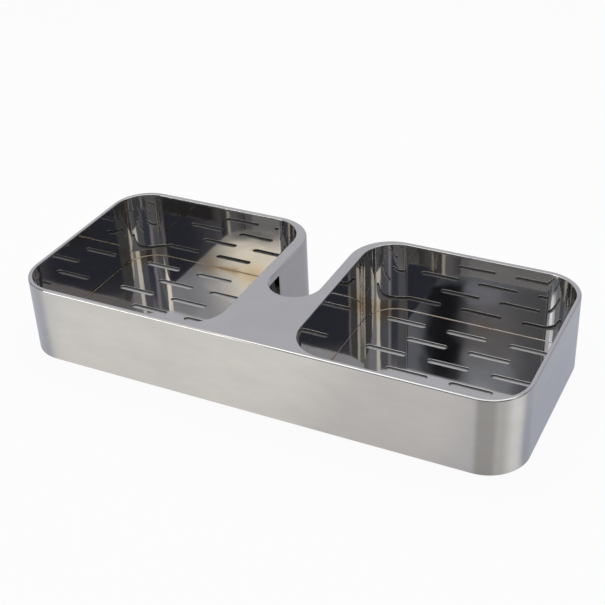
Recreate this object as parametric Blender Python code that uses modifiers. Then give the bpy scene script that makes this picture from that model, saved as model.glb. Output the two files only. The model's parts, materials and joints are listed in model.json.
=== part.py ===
"""Double shower shelf of polished steel sheet: two slotted basins joined by a deck with a notch at the back.

The shelf stands on its lower edges, centred on the origin, with its front towards -Y and its flat rear towards
+Y. Lengths are in metres.
"""

import math

import bmesh
import bpy

MM = 0.001

# The inside of each basin, which sets the size of everything around it
BASIN_WIDTH = 150.0 * MM
BASIN_DEPTH = 147.0 * MM
BASIN_RADIUS = 25.0 * MM
SHELF_HEIGHT = 56.0 * MM
BRIDGE_WIDTH = 54.0 * MM

# Sheet thicknesses
DECK_SHEET = 2.0 * MM
SKIRT_SHEET = 1.2 * MM
WALL_SHEET = 1.2 * MM
LIP_SHEET = 1.2 * MM
FLOOR_SHEET = 1.0 * MM

# The space between the outer skirt and the basin walls
SIDE_GAP = 0.6 * MM
REAR_GAP = 1.6 * MM

# What two pieces that touch keep between them
SEAM_GAP = 0.3 * MM

# The notch in the rear edge, which clears a riser pipe
NOTCH_WIDTH = 37.0 * MM
NOTCH_DEPTH = 96.5 * MM
SHOULDER_EASE = 2.0 * MM
LIP_HEIGHT = 3.5 * MM
LIP_STRAIGHT = 13.0 * MM

# The basin floors and their drain slots
FLOOR_RECESS = 1.0 * MM
SLOT_LENGTH = 30.0 * MM
SLOT_WIDTH = 4.6 * MM
SLOT_PITCH = 45.5 * MM
SLOT_ROW_PITCH = 19.0 * MM
SLOT_FIELD_SETBACK = 1.2 * MM
SLOT_MARGIN = 12.0 * MM
WELD_RADIUS = 0.6 * MM

# Pads that fix the shelf to the wall
PAD_SIDE_MARGIN = 6.0 * MM
PAD_EDGE_MARGIN = 8.0 * MM
PAD_THICKNESS = 1.0 * MM
PAD_RADIUS = 5.0 * MM

# Soft edges left by polishing, and how finely round stretches are divided
EDGE_RADIUS = 0.7 * MM
ARC_STEPS = 12
SLOT_END_STEPS = 8
SHARP_EDGE = math.radians(45)
MERGE_DISTANCE = 0.001 * MM

# Places that follow from the sizes above
SIDE_RIM = WALL_SHEET + SIDE_GAP + SKIRT_SHEET
REAR_RIM = WALL_SHEET + REAR_GAP + SKIRT_SHEET
OUTER_RADIUS = BASIN_RADIUS + SIDE_RIM
SHELF_WIDTH = 2 * (SIDE_RIM + BASIN_WIDTH) + BRIDGE_WIDTH
SHELF_DEPTH = SIDE_RIM + BASIN_DEPTH + REAR_RIM
OVERALL_DEPTH = SHELF_DEPTH + SEAM_GAP + PAD_THICKNESS
LEFT_X = -SHELF_WIDTH / 2
RIGHT_X = SHELF_WIDTH / 2
FRONT_Y = -OVERALL_DEPTH / 2
REAR_Y = FRONT_Y + SHELF_DEPTH
NOTCH_X = NOTCH_WIDTH / 2
NOTCH_BOTTOM_Y = REAR_Y - NOTCH_DEPTH
SHOULDER_RADIUS = BASIN_RADIUS + REAR_RIM + SHOULDER_EASE
SKIRT_END_Y = NOTCH_BOTTOM_Y + NOTCH_X + LIP_STRAIGHT
BASIN_X = (BRIDGE_WIDTH + BASIN_WIDTH) / 2
BASIN_Y = FRONT_Y + SIDE_RIM + BASIN_DEPTH / 2
DECK_UNDERSIDE = SHELF_HEIGHT - DECK_SHEET
WALL_TOP = DECK_UNDERSIDE - SEAM_GAP
FLOOR_TOP = FLOOR_RECESS + FLOOR_SHEET
SLOT_ROWS = 1 + int((BASIN_DEPTH - 2 * SLOT_MARGIN - SLOT_WIDTH) / SLOT_ROW_PITCH)
SLOTS_IN_LONG_ROW = 1 + int((BASIN_WIDTH - 2 * SLOT_MARGIN - SLOT_LENGTH) / SLOT_PITCH)
REAR_FLAT_START = NOTCH_X + SHOULDER_RADIUS
REAR_FLAT_END = RIGHT_X - OUTER_RADIUS
PAD_X = (REAR_FLAT_START + REAR_FLAT_END) / 2
PAD_WIDTH = REAR_FLAT_END - REAR_FLAT_START - 2 * PAD_SIDE_MARGIN
PAD_HEIGHT = WALL_TOP - 2 * PAD_EDGE_MARGIN


def clear_scene():
    for old in list(bpy.data.objects):
        bpy.data.objects.remove(old, do_unlink=True)


def material(name, colour, roughness, metallic=1.0):
    made = bpy.data.materials.new(name)
    made.use_nodes = True
    shader = made.node_tree.nodes["Principled BSDF"]
    shader.inputs["Base Color"].default_value = (*colour, 1.0)
    shader.inputs["Roughness"].default_value = roughness
    shader.inputs["Metallic"].default_value = metallic
    return made


def arc(centre_x, centre_y, radius, start, end, steps=ARC_STEPS):
    """Points of an arc from one angle to another, in degrees, with both ends."""
    points = []
    for step in range(steps + 1):
        angle = math.radians(start + (end - start) * step / steps)
        points.append((centre_x + radius * math.cos(angle), centre_y + radius * math.sin(angle)))
    return points


def rounded_rectangle(width, depth, radius):
    """A closed outline round the origin, anticlockwise."""
    x = width / 2 - radius
    y = depth / 2 - radius
    outline = arc(x, y, radius, 0, 90)
    outline += arc(-x, y, radius, 90, 180)
    outline += arc(-x, -y, radius, 180, 270)
    outline += arc(x, -y, radius, 270, 360)
    return outline


def skirt_path():
    """The outer face of the shelf, anticlockwise from the notch's left side round to its right side."""
    shoulder_y = REAR_Y - SHOULDER_RADIUS
    left = LEFT_X + OUTER_RADIUS
    right = RIGHT_X - OUTER_RADIUS
    front = FRONT_Y + OUTER_RADIUS
    rear = REAR_Y - OUTER_RADIUS
    path = [(-NOTCH_X, SKIRT_END_Y)]
    path += arc(-REAR_FLAT_START, shoulder_y, SHOULDER_RADIUS, 0, 90)
    path += arc(left, rear, OUTER_RADIUS, 90, 180)
    path += arc(left, front, OUTER_RADIUS, 180, 270)
    path += arc(right, front, OUTER_RADIUS, 270, 360)
    path += arc(right, rear, OUTER_RADIUS, 0, 90)
    path += arc(REAR_FLAT_START, shoulder_y, SHOULDER_RADIUS, 90, 180)
    path.append((NOTCH_X, SKIRT_END_Y))
    return path


def notch_bottom():
    """The half circle that ends the notch, from its right side to its left side."""
    return arc(0, NOTCH_BOTTOM_Y + NOTCH_X, NOTCH_X, 0, -180, 2 * ARC_STEPS)


def notch_lip_path():
    """The lip's face, between the two ends of the skirt."""
    end_y = SKIRT_END_Y - SEAM_GAP
    return [(NOTCH_X, end_y), *notch_bottom(), (-NOTCH_X, end_y)]


def slot_outline(centre_x, centre_y):
    radius = SLOT_WIDTH / 2
    reach = SLOT_LENGTH / 2 - radius
    outline = arc(centre_x + reach, centre_y, radius, -90, 90, SLOT_END_STEPS)
    outline += arc(centre_x - reach, centre_y, radius, 90, 270, SLOT_END_STEPS)
    return outline


def slot_centres():
    """Rows of slots from front to rear, where every other row has one slot fewer and sits half a pitch over."""
    centres = []
    for row in range(SLOT_ROWS):
        count = SLOTS_IN_LONG_ROW - row % 2
        y = SLOT_FIELD_SETBACK + (row - (SLOT_ROWS - 1) / 2) * SLOT_ROW_PITCH
        for place in range(count):
            centres.append(((place - (count - 1) / 2) * SLOT_PITCH, y))
    return centres


def curve_object(name, outlines, closed=True):
    """A flat curve object with one polyline for each outline."""
    curve = bpy.data.curves.new(name, "CURVE")
    curve.dimensions = "2D"
    for outline in outlines:
        spline = curve.splines.new("POLY")
        spline.points.add(len(outline) - 1)
        for point, (x, y) in zip(spline.points, outline):
            point.co = (x, y, 0, 1)
        spline.use_cyclic_u = closed
    return bpy.data.objects.new(name, curve)


def flat_sheet(name, outlines, thickness):
    """A flat blank: the first outline is its edge, and the others are openings in it."""
    sheet = curve_object(name, outlines)
    sheet.data.fill_mode = "BOTH"
    sheet.data.extrude = thickness / 2
    return sheet


def bent_band(name, path, height, thickness, closed):
    """A strip on edge, bent along the path, which runs along its face. Its thickness lies on the path's left."""
    work = bmesh.new()
    foot = [work.verts.new((x, y, -height / 2)) for x, y in path]
    following = foot[1:] + foot[:1] if closed else foot[1:]
    edges = [work.edges.new(pair) for pair in zip(foot, following)]
    raised = bmesh.ops.extrude_edge_only(work, edges=edges)["geom"]
    top = [item for item in raised if isinstance(item, bmesh.types.BMVert)]
    bmesh.ops.translate(work, verts=top, vec=(0, 0, height))
    mesh = bpy.data.meshes.new(name)
    work.to_mesh(mesh)
    work.free()
    band = bpy.data.objects.new(name, mesh)
    wall = band.modifiers.new("sheet_thickness", "SOLIDIFY")
    wall.thickness = thickness
    wall.offset = 1.0
    wall.use_even_offset = True
    return band


def round_bead(name, outline, radius):
    """A closed bead of round section along the outline."""
    bead = curve_object(name, [outline])
    bead.data.fill_mode = "NONE"
    bead.data.bevel_depth = radius
    bead.data.bevel_resolution = 2
    return bead


def as_mesh(source):
    """The same piece as a mesh object, with the curve's loose caps welded."""
    evaluated = source.evaluated_get(bpy.context.evaluated_depsgraph_get())
    mesh = bpy.data.meshes.new_from_object(evaluated)
    name = source.name
    curve = source.data
    bpy.data.objects.remove(source, do_unlink=True)
    bpy.data.curves.remove(curve)
    work = bmesh.new()
    work.from_mesh(mesh)
    bmesh.ops.remove_doubles(work, verts=work.verts, dist=MERGE_DISTANCE)
    work.to_mesh(mesh)
    work.free()
    mesh.name = name
    return bpy.data.objects.new(name, mesh)


def round_top_edges(sheet, thickness, radius):
    """Marks the edges round the top face, and bevels those alone."""
    work = bmesh.new()
    work.from_mesh(sheet.data)
    weight = work.edges.layers.float.new("bevel_weight_edge")
    top = thickness / 2 - MERGE_DISTANCE
    for edge in work.edges:
        at_top = all(vertex.co.z > top for vertex in edge.verts)
        if at_top and edge.calc_face_angle(0.0) > SHARP_EDGE:
            edge[weight] = 1.0
    work.to_mesh(sheet.data)
    work.free()
    rounding = sheet.modifiers.new("polished_edge", "BEVEL")
    rounding.limit_method = "WEIGHT"
    rounding.width = radius
    rounding.segments = 3


def place(piece, collection, finish, x=0.0, y=0.0, z=0.0):
    piece.location = (x, y, z)
    piece.data.materials.append(finish)
    collection.objects.link(piece)


def make_deck(collection, finish):
    """The top sheet, with a window over each basin and the notch in its rear edge."""
    outer = skirt_path() + notch_bottom()
    windows = []
    for side in (-1, 1):
        window = rounded_rectangle(BASIN_WIDTH, BASIN_DEPTH, BASIN_RADIUS)
        windows.append([(x + side * BASIN_X, y + BASIN_Y) for x, y in window])
    deck = as_mesh(flat_sheet("deck_plate", [outer, *windows], DECK_SHEET))
    round_top_edges(deck, DECK_SHEET, EDGE_RADIUS)
    place(deck, collection, finish, z=DECK_UNDERSIDE + DECK_SHEET / 2)


def make_skirt(collection, finish):
    """The outer band, whose two ends stop inside the notch."""
    skirt = bent_band("outer_skirt", skirt_path(), WALL_TOP, SKIRT_SHEET, closed=False)
    place(skirt, collection, finish, z=WALL_TOP / 2)


def make_notch_lip(collection, finish):
    """The short lip under the deck that joins the skirt's ends round the bottom of the notch."""
    lip = bent_band("notch_lip", notch_lip_path(), LIP_HEIGHT, LIP_SHEET, closed=False)
    place(lip, collection, finish, z=WALL_TOP - LIP_HEIGHT / 2)


def make_basin(side, collection, wall_finish, floor_finish, weld_finish):
    """One basin: its wall band, its slotted floor and the weld between them."""
    name = "left" if side < 0 else "right"
    x = side * BASIN_X

    outside = rounded_rectangle(
        BASIN_WIDTH + 2 * WALL_SHEET, BASIN_DEPTH + 2 * WALL_SHEET, BASIN_RADIUS + WALL_SHEET
    )
    wall = bent_band(f"{name}_basin_wall", outside, WALL_TOP, WALL_SHEET, closed=True)
    place(wall, collection, wall_finish, x, BASIN_Y, WALL_TOP / 2)

    edge = rounded_rectangle(
        BASIN_WIDTH - 2 * SEAM_GAP, BASIN_DEPTH - 2 * SEAM_GAP, BASIN_RADIUS - SEAM_GAP
    )
    slots = [slot_outline(*centre) for centre in slot_centres()]
    floor = flat_sheet(f"{name}_floor_plate", [edge, *slots], FLOOR_SHEET)
    place(floor, collection, floor_finish, x, BASIN_Y, FLOOR_TOP - FLOOR_SHEET / 2)

    inset = SEAM_GAP + WELD_RADIUS
    run = rounded_rectangle(BASIN_WIDTH - 2 * inset, BASIN_DEPTH - 2 * inset, BASIN_RADIUS - inset)
    weld = round_bead(f"{name}_floor_weld", run, WELD_RADIUS)
    place(weld, collection, weld_finish, x, BASIN_Y, FLOOR_TOP + inset)


def make_wall_pad(side, collection, finish):
    """An adhesive pad on the flat rear face behind one basin."""
    name = "left" if side < 0 else "right"
    outline = rounded_rectangle(PAD_WIDTH, PAD_HEIGHT, PAD_RADIUS)
    pad = flat_sheet(f"{name}_wall_pad", [outline], PAD_THICKNESS)
    pad.rotation_euler = (math.pi / 2, 0, 0)
    place(pad, collection, finish, side * PAD_X, REAR_Y + SEAM_GAP + PAD_THICKNESS / 2, WALL_TOP / 2)


def main():
    clear_scene()
    parts = bpy.data.collections.new("shower_shelf")
    bpy.context.scene.collection.children.link(parts)

    skirt_steel = material("polished_steel_skirt", (0.55, 0.54, 0.51), 0.25)
    wall_steel = material("mirror_steel_wall", (0.36, 0.36, 0.38), 0.06)
    floor_steel = material("mirror_steel_floor", (0.38, 0.38, 0.41), 0.10)
    weld_steel = material("straw_tinted_weld", (0.46, 0.34, 0.20), 0.30)
    foam = material("grey_foam_pad", (0.10, 0.10, 0.11), 0.85, metallic=0.0)

    make_deck(parts, material("polished_steel_deck", (0.42, 0.42, 0.45), 0.22))
    make_skirt(parts, skirt_steel)
    make_notch_lip(parts, skirt_steel)
    for side in (-1, 1):
        make_basin(side, parts, wall_steel, floor_steel, weld_steel)
        make_wall_pad(side, parts, foam)


main()
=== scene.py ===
# %% [markdown]
# # A double shower shelf in polished stainless steel
# The shelf is a weldment of thin sheet: a flat deck with a window over each basin, an outer skirt,
# two basin liners with slotted floors, and a short lip round the end of the notch, which clears a
# riser pipe. The seams are welded and polished away, so the eye reads one smooth skin with soft
# edges, and nearly all that shows on it is reflection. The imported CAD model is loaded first. It is
# the fixed frame that every new piece is measured from.

# %% Load the frame
import json
import math

import bmesh
import bpy
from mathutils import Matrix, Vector

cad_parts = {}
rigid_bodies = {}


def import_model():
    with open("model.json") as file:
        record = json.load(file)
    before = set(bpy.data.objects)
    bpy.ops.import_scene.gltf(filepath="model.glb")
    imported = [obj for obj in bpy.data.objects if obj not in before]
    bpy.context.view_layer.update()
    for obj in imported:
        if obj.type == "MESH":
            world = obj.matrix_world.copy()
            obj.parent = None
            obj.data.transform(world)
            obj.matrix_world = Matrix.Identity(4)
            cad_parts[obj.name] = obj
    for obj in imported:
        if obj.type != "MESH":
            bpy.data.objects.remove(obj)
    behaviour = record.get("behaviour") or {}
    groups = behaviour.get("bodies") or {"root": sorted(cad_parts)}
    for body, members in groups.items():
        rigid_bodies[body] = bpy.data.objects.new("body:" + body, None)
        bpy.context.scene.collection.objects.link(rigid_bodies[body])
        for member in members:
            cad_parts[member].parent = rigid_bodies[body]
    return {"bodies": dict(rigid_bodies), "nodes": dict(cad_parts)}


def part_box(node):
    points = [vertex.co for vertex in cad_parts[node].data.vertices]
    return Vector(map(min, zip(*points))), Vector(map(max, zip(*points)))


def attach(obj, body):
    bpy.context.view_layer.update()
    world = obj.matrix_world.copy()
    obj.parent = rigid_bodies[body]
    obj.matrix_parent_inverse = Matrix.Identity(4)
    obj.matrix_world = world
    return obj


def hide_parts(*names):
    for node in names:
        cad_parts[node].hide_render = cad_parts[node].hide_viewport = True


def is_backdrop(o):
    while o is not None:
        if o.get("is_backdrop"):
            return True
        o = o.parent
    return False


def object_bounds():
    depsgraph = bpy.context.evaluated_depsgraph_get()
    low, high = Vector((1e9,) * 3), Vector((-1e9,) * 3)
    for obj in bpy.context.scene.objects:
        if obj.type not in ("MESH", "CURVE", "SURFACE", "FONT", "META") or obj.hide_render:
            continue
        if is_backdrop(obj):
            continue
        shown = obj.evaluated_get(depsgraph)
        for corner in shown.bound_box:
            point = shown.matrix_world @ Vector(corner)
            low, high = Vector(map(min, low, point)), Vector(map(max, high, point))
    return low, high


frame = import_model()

MM = 0.001

# Whatever else the start file holds is removed.
kept = {*frame["nodes"].values(), *frame["bodies"].values()}
for other in set(bpy.data.objects) - kept:
    bpy.data.objects.remove(other)
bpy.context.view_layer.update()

# %% [markdown]
# ## Where everything is
# The CAD nodes say where each sheet lies, so most sizes are read from their boxes and follow the
# model. What a box can't tell, such as a sheet's thickness or the radius of a bend, is written here
# once.

# %% Sizes from the frame
CORNER_RADIUS = 28 * MM
SHOULDER_RADIUS = 31 * MM
BASIN_RADIUS = 25 * MM
WALL_SHEET = 1.2 * MM

deck_low, deck_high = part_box("deck_plate")
skirt_low, skirt_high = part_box("outer_skirt")
lip_low, lip_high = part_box("notch_lip")
floor_low, floor_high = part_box("left_floor_plate")
wall_low, wall_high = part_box("left_basin_wall")
right_wall_low, right_wall_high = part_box("right_basin_wall")

DECK_TOP = deck_high.z
DECK_UNDERSIDE = deck_low.z
REAR_Y = deck_high.y
NOTCH_RADIUS = lip_high.x - WALL_SHEET
NOTCH_BOTTOM_Y = lip_low.y + WALL_SHEET
NOTCH_CENTRE_Y = NOTCH_BOTTOM_Y + NOTCH_RADIUS
SKIRT_END_Y = lip_high.y
LIP_FOOT = lip_low.z
FLOOR_TOP = floor_high.z
FLOOR_UNDERSIDE = floor_low.z
BASIN_SHIFT = right_wall_low.x - wall_low.x
basin_low = Vector((wall_low.x + WALL_SHEET, wall_low.y + WALL_SHEET, 0.0))
basin_high = Vector((wall_high.x - WALL_SHEET, wall_high.y - WALL_SHEET, DECK_UNDERSIDE))
basin_centre = (basin_low + basin_high) / 2
print("Each basin inside, mm:", [round(span / MM, 1) for span in basin_high - basin_low])
print("Notch: half width", round(NOTCH_RADIUS / MM, 2), "mm, bottom at y", round(NOTCH_BOTTOM_Y / MM, 2))

# %% [markdown]
# ## Tools of the trade
# Each piece starts as a primitive at its size and place, and is shaped in edit mode. An operator
# acts on whatever is selected, and the frame's nodes start out selected, so everything is
# deselected before a primitive is added.

# %% Start from a primitive
def settle(piece, name):
    """Names a new primitive and moves its place and size into its mesh."""
    piece.name = name
    piece.data.name = name
    bpy.ops.object.transform_apply(location=True, rotation=True, scale=True)
    return piece


def block(name, low, high):
    """A box from its lowest corner to its highest."""
    bpy.ops.object.select_all(action="DESELECT")
    bpy.ops.mesh.primitive_cube_add(size=1, location=(low + high) / 2, scale=high - low)
    return settle(bpy.context.object, name)


# %% Select by place
def select_only(piece):
    """Selects one piece and makes it the active one."""
    bpy.ops.object.select_all(action="DESELECT")
    piece.select_set(True)
    bpy.context.view_layer.objects.active = piece


def edit(piece, kind):
    """Opens one piece in edit mode with nothing selected, and returns its edit mesh."""
    select_only(piece)
    bpy.ops.object.mode_set(mode="EDIT")
    bpy.ops.mesh.select_mode(type=kind)
    bpy.ops.mesh.select_all(action="DESELECT")
    return bmesh.from_edit_mesh(piece.data)


def done():
    bpy.ops.object.mode_set(mode="OBJECT")


def pick_edges(piece, wanted):
    """Selects the edges that pass the test, and says how many there are."""
    cage = edit(piece, "EDGE")
    found = [edge for edge in cage.edges if wanted(edge)]
    for edge in found:
        edge.select_set(True)
    bmesh.update_edit_mesh(piece.data)
    return len(found)


def pick_faces(piece, wanted):
    """Selects the faces that pass the test, and says how many there are."""
    cage = edit(piece, "FACE")
    found = [face for face in cage.faces if wanted(face)]
    for face in found:
        face.select_set(True)
    bmesh.update_edit_mesh(piece.data)
    return len(found)


# %% [markdown]
# ## Round the upright edges
# Sheet is bent round a former, so every corner of the plan is a true arc. The outline could be
# drawn as a curve with those arcs and then filled, but a bevel on the upright edges of a block
# needs only a radius, and it serves the shelf, the basins and the slots alike. It has many
# segments, because a mirror finish shows each flat facet.

# %% Bends
BEND_SEGMENTS = 32
NEAR = 0.01 * MM
MERGE_DISTANCE = 0.001 * MM


def is_upright(edge):
    a, b = edge.verts
    return (a.co.xy - b.co.xy).length < NEAR and abs(a.co.z - b.co.z) > NEAR


def bend(piece, radius, where, segments=BEND_SEGMENTS):
    """Rounds the upright edges whose place in the plan passes the test."""
    count = pick_edges(piece, lambda edge: is_upright(edge) and where(edge.verts[0].co))
    bpy.ops.mesh.bevel(offset=radius, segments=segments, affect="EDGES", clamp_overlap=False)
    bpy.ops.mesh.select_all(action="SELECT")
    bpy.ops.mesh.remove_doubles(threshold=MERGE_DISTANCE)
    done()
    return count


def cut(piece, cutter):
    """Cuts one shape out of another and throws the cutter away."""
    tool = piece.modifiers.new("cut", "BOOLEAN")
    tool.operation = "DIFFERENCE"
    tool.object = cutter
    select_only(piece)
    bpy.ops.object.modifier_apply(modifier=tool.name)
    bpy.data.objects.remove(cutter)


# %% [markdown]
# ## The outline of the shelf
# The deck, the skirt and the lip share one outline, so one function makes it at any height: a block
# with round corners, less a notch with a half-round end, whose mouth flares in two wide shoulders.
# The notch could be part of a drawn outline. Cut out of the block, it leaves two upright edges at
# its mouth, which are rounded like any others. The notch form is half a cylinder whose flat side is
# extruded out past the rear.

# %% The shelf's form
SPARE = 5 * MM


def notch_form(low_z, high_z):
    """Half a cylinder, drawn out towards the rear."""
    bpy.ops.object.select_all(action="DESELECT")
    bpy.ops.mesh.primitive_cylinder_add(
        vertices=4 * BEND_SEGMENTS,
        radius=NOTCH_RADIUS,
        depth=high_z - low_z,
        location=(0, NOTCH_CENTRE_Y, (low_z + high_z) / 2),
    )
    form = settle(bpy.context.object, "notch_form")
    edit(form, "FACE")
    bpy.ops.mesh.select_all(action="SELECT")
    bpy.ops.mesh.bisect(
        plane_co=(0, NOTCH_CENTRE_Y, 0), plane_no=(0, 1, 0), use_fill=True, clear_outer=True
    )
    done()
    pick_faces(form, lambda face: face.normal.y > 0.9)
    past_the_rear = Vector((0, REAR_Y - NOTCH_CENTRE_Y + SHOULDER_RADIUS, 0))
    bpy.ops.mesh.extrude_region_move(TRANSFORM_OT_translate={"value": past_the_rear})
    done()
    return form


def at_mouth(at):
    return abs(at.y - REAR_Y) < NEAR and abs(at.x) < NOTCH_RADIUS + NEAR


def shelf_form(name, low_z, high_z):
    """The shelf's outline with its notch, between two heights."""
    low = Vector((deck_low.x, deck_low.y, low_z))
    high = Vector((deck_high.x, deck_high.y, high_z))
    form = block(name, low, high)
    bend(form, CORNER_RADIUS, lambda at: True)
    cut(form, notch_form(low_z - SPARE, high_z + SPARE))
    mouth = bend(form, SHOULDER_RADIUS, at_mouth)
    print(name, "has", len(form.data.polygons), "faces and a notch with", mouth, "rounded shoulders")
    return form


def basin_form(name, low_z, high_z):
    """The inside of the left basin, between two heights."""
    low = Vector((basin_low.x, basin_low.y, low_z))
    high = Vector((basin_high.x, basin_high.y, high_z))
    form = block(name, low, high)
    bend(form, BASIN_RADIUS, lambda at: True)
    return form


def copy_across(piece, name):
    """The right basin's copy of a left piece, with a mesh of its own."""
    select_only(piece)
    bpy.ops.object.duplicate()
    bpy.ops.transform.translate(value=(BASIN_SHIFT, 0, 0))
    return settle(bpy.context.object, name)


# %% [markdown]
# ## Soft edges and clean shading
# Buffing rounds every edge a little, and that thin round is what catches the light. A Bevel
# modifier could find the sharp edges by their angle, but one sheet has rounds of two sizes, so the
# edges are picked by place and beveled in edit mode. The flat faces beside them must stay flat to
# the eye, so a Weighted Normal modifier gives the largest face at each point the say over its
# normal.

# %% Edges and shading
EDGE_SEGMENTS = 5
SHARP = math.radians(45)
SMOOTH_BELOW = math.radians(35)


def soften(piece, radius, wanted, segments=EDGE_SEGMENTS):
    """Rounds the sharp edges that pass the test."""
    count = pick_edges(piece, lambda edge: edge.calc_face_angle(0) > SHARP and wanted(edge))
    bpy.ops.mesh.bevel(
        offset=radius, segments=segments, affect="EDGES", loop_slide=False, clamp_overlap=False
    )
    done()
    return count


def lies_at(edge, z):
    return all(abs(vertex.co.z - z) < NEAR for vertex in edge.verts)


def shade(piece):
    """Smooth shading that keeps flats flat and square edges sharp."""
    select_only(piece)
    bpy.ops.object.shade_smooth_by_angle(angle=SMOOTH_BELOW)
    even = piece.modifiers.new("flats_stay_flat", "WEIGHTED_NORMAL")
    even.keep_sharp = True
    even.weight = 100
    bpy.ops.object.modifier_apply(modifier=even.name)


# %% [markdown]
# ## The deck
# The deck is 2 mm sheet with a window over each basin. It could be one flat outline with two holes.
# Here the windows are cut out by the form that the liners are made from, so the two always agree.
# The buffing wheel reaches the outline best, so its upper edge is rounded by 1.2 mm there and in
# the notch, and the edges of the windows are crisper.

# %% Model the deck
DECK_EDGE = 1.2 * MM
WINDOW_EDGE = 0.5 * MM
OUTLINE_SLACK = 0.1 * MM


def is_window_edge(edge):
    """An upper edge of the deck that lies on the round-cornered outline of a basin."""
    half = (basin_high - basin_low) / 2
    x, y = edge.verts[0].co.xy
    past_x = abs(abs(x) - abs(basin_centre.x)) - half.x + BASIN_RADIUS
    past_y = abs(y - basin_centre.y) - half.y + BASIN_RADIUS
    from_arc = math.hypot(max(past_x, 0), max(past_y, 0)) + min(max(past_x, past_y), 0)
    return lies_at(edge, DECK_TOP) and from_arc < BASIN_RADIUS + OUTLINE_SLACK


deck = shelf_form("polished_deck", DECK_UNDERSIDE, DECK_TOP)
left_window = basin_form("window_form", DECK_UNDERSIDE - SPARE, DECK_TOP + SPARE)
right_window = copy_across(left_window, "right_window_form")
cut(deck, left_window)
cut(deck, right_window)
edges = soften(deck, WINDOW_EDGE, is_window_edge)
edges += soften(deck, DECK_EDGE, lambda edge: lies_at(edge, DECK_TOP) and not is_window_edge(edge))
shade(deck)
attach(deck, "root")
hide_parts("deck_plate")
print("Deck:", edges, "edges buffed,", len(deck.data.polygons), "faces")

# %% [markdown]
# ## The skirt and the lip
# The skirt is a strip on edge, bent round the outline, and its two ends stop inside the notch. It
# could be swept along a curve, but the shelf's form already has the outline. As tall as the skirt,
# it loses its top and bottom and the end of the notch, and what is left is given the sheet's
# thickness on its inner side. The lip is the other part: the end of the notch alone, and only a few
# millimetres tall.

# %% Open a form into a shell
def in_notch_end(at):
    return at.y < SKIRT_END_Y - NEAR and abs(at.x) < NOTCH_RADIUS + NEAR and at.y > NOTCH_BOTTOM_Y - NEAR


def is_notch_side(face):
    return abs(face.normal.x) > 0.9 and abs(face.calc_center_median().x) < NOTCH_RADIUS + NEAR


def open_shell(form, goes):
    """Parts the notch's walls where the skirt ends, and deletes the faces that pass the test."""
    pick_faces(form, is_notch_side)
    bpy.ops.mesh.bisect(plane_co=(0, SKIRT_END_Y, 0), plane_no=(0, 1, 0))
    done()
    pick_faces(form, goes)
    bpy.ops.mesh.delete(type="FACE")
    done()


def give_thickness(shell, thickness):
    """Turns an open shell into sheet. It grows inwards, or outwards if the thickness is negative."""
    sheet = shell.modifiers.new("sheet_thickness", "SOLIDIFY")
    sheet.thickness = thickness
    sheet.offset = -1
    sheet.use_even_offset = True
    select_only(shell)
    bpy.ops.object.modifier_apply(modifier=sheet.name)


def is_cap(face):
    return abs(face.normal.z) > 0.9


# %% Model the skirt
SHEET_EDGE = 0.5 * MM

skirt = shelf_form("polished_skirt", skirt_low.z, DECK_UNDERSIDE)
open_shell(skirt, lambda face: is_cap(face) or in_notch_end(face.calc_center_median()))
give_thickness(skirt, WALL_SHEET)
soften(skirt, SHEET_EDGE, lambda edge: lies_at(edge, skirt_low.z), segments=4)
shade(skirt)
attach(skirt, "root")
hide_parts("outer_skirt")
print("Skirt:", len(skirt.data.polygons), "faces")

# %% Model the lip
lip = shelf_form("polished_notch_lip", LIP_FOOT, DECK_UNDERSIDE)
open_shell(lip, lambda face: is_cap(face) or not in_notch_end(face.calc_center_median()))
give_thickness(lip, WALL_SHEET)
soften(lip, SHEET_EDGE, lambda edge: lies_at(edge, LIP_FOOT), segments=4)
shade(lip)
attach(lip, "root")
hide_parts("notch_lip")
print("Lip:", len(lip.data.polygons), "faces")

# %% [markdown]
# ## The basin liners
# Each liner is a strip bent into a closed square with round corners. A tube could be bent to it,
# but the basin's form without its top and bottom is that band already, and Solidify gives it the
# sheet's thickness. It is modelled once, on the left, and copied.

# %% Model the liners
left_wall = basin_form("left_basin_liner", wall_low.z, DECK_UNDERSIDE)
pick_faces(left_wall, is_cap)
bpy.ops.mesh.delete(type="FACE")
done()
give_thickness(left_wall, -WALL_SHEET)
soften(left_wall, SHEET_EDGE, lambda edge: lies_at(edge, wall_low.z), segments=4)
shade(left_wall)
right_wall = copy_across(left_wall, "right_basin_liner")
for liner, node in ((left_wall, "left_basin_wall"), (right_wall, "right_basin_wall")):
    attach(liner, "root")
    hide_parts(node)
print("Liners:", len(left_wall.data.polygons), "faces each")

# %% [markdown]
# ## The slotted floors
# Seven rows of stamped slots drain each floor, with three and two to a row in turn. Each slot has
# round ends and an edge that the punch drew down a little. Slots could be painted on as a see-
# through pattern, but then their edges wouldn't glint and their sides wouldn't show. So they are
# cut: a slot form is a block whose upright edges are rounded by half its width, and all the forms
# are joined and cut out together.

# %% Place and shape the slots
SLOT_LENGTH = 30 * MM
SLOT_WIDTH = 4.6 * MM
SLOT_PITCH = 45.5 * MM
SLOT_ROW_PITCH = 19 * MM
SLOT_ROWS = 7
SLOT_FIELD_SETBACK = 1.2 * MM
SLOT_SEGMENTS = 8


def slot_centres():
    """Centres of the left floor's slots, from the front row to the rear one."""
    places = []
    for row in range(SLOT_ROWS):
        count = 3 - row % 2
        y = basin_centre.y + SLOT_FIELD_SETBACK + (row - (SLOT_ROWS - 1) / 2) * SLOT_ROW_PITCH
        for place in range(count):
            places.append((basin_centre.x + (place - (count - 1) / 2) * SLOT_PITCH, y))
    return places


def slot_form(x, y):
    reach = Vector((SLOT_LENGTH / 2, SLOT_WIDTH / 2, SPARE))
    centre = Vector((x, y, FLOOR_TOP))
    form = block("slot_form", centre - reach, centre + reach)
    bend(form, SLOT_WIDTH / 2, lambda at: True, SLOT_SEGMENTS)
    return form


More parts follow.
